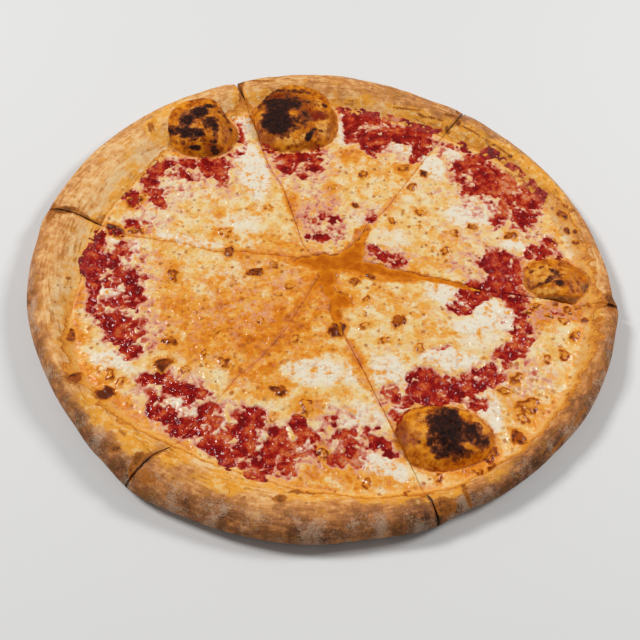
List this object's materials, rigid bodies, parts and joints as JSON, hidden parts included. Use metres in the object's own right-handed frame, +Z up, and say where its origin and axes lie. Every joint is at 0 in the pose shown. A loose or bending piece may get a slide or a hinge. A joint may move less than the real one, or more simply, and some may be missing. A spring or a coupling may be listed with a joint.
{
  "type": "cheese pizza",
  "caption": "Round thin-crust pizza with tomato sauce and melted cheese, cut into slices that lie together, with a raised golden rim and charred dough bubbles.",
  "frame": {"origin": "middle of the underside, on the surface the pizza lies on", "axes": "+Z up through the toppings; +X to the right and +Y away, as the picture shows the pizza"},
  "size_m": [0.3048, 0.3028, 0.0203],
  "materials": {
    "crust": "baked dough, golden tan and matt, with charred bubbles",
    "sauce": "wet tomato sauce, deep red",
    "cheese": "melted cheese, creamy with golden-orange speckles, oily",
    "oil": "orange oil, wet"
  },
  "bodies": {
    "root": {"crust_1": "crust", "sauce_1": "sauce", "cheese_1": "cheese", "crust_2": "crust", "sauce_2": "sauce", "cheese_2": "cheese", "crust_3": "crust", "sauce_3": "sauce", "cheese_3": "cheese", "crust_4": "crust", "sauce_4": "sauce", "cheese_4": "cheese", "crust_5": "crust", "sauce_5": "sauce", "cheese_5": "cheese", "crust_6": "crust", "sauce_6": "sauce", "cheese_6": "cheese", "oil_pool": "oil"}
  },
  "joints": []
}
